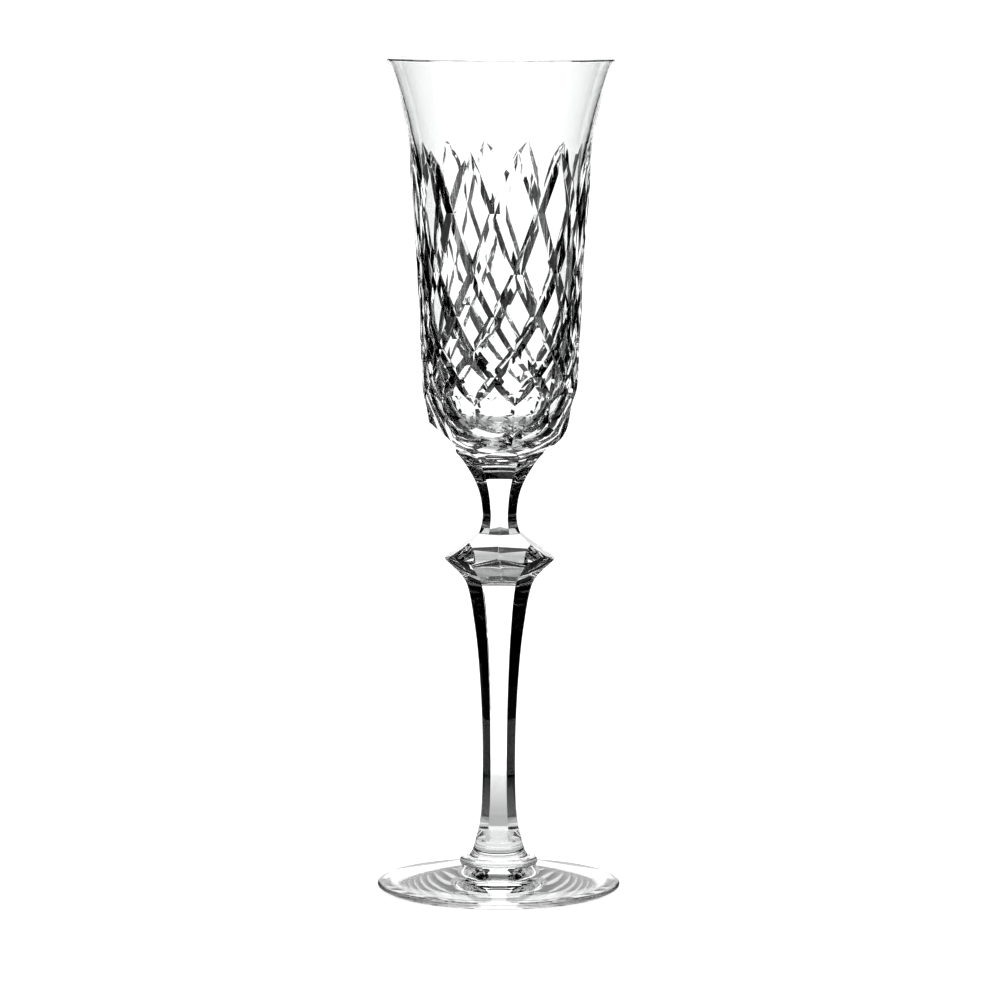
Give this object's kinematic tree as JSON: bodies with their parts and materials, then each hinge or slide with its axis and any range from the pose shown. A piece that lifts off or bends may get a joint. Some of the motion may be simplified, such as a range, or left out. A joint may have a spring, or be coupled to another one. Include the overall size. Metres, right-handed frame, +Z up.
{
  "type": "champagne flute",
  "caption": "Tall cut-crystal champagne flute: flared bowl with spiral diamond cuts, faceted neck, knop and stem on a round foot.",
  "frame": {"origin": "middle of the flat ring that the foot stands on", "axes": "+Z up along the glass's axis, -Y the front that one facet of the stem faces, +X to the right seen from the front"},
  "size_m": [0.0706, 0.0706, 0.2414],
  "materials": {
    "bowl_crystal": "clear colourless crystal, polished, with polished V cuts",
    "neck_crystal": "clear colourless crystal, polished facets",
    "knop_crystal": "clear colourless crystal, polished facets",
    "stem_crystal": "clear colourless crystal, polished facets",
    "foot_button_crystal": "clear colourless crystal, fire polished",
    "foot_crystal": "clear colourless crystal, fire polished"
  },
  "bodies": {
    "root": {"bowl": "bowl_crystal", "neck": "neck_crystal", "knop": "knop_crystal", "stem": "stem_crystal", "foot_button": "foot_button_crystal", "foot": "foot_crystal"}
  },
  "joints": []
}
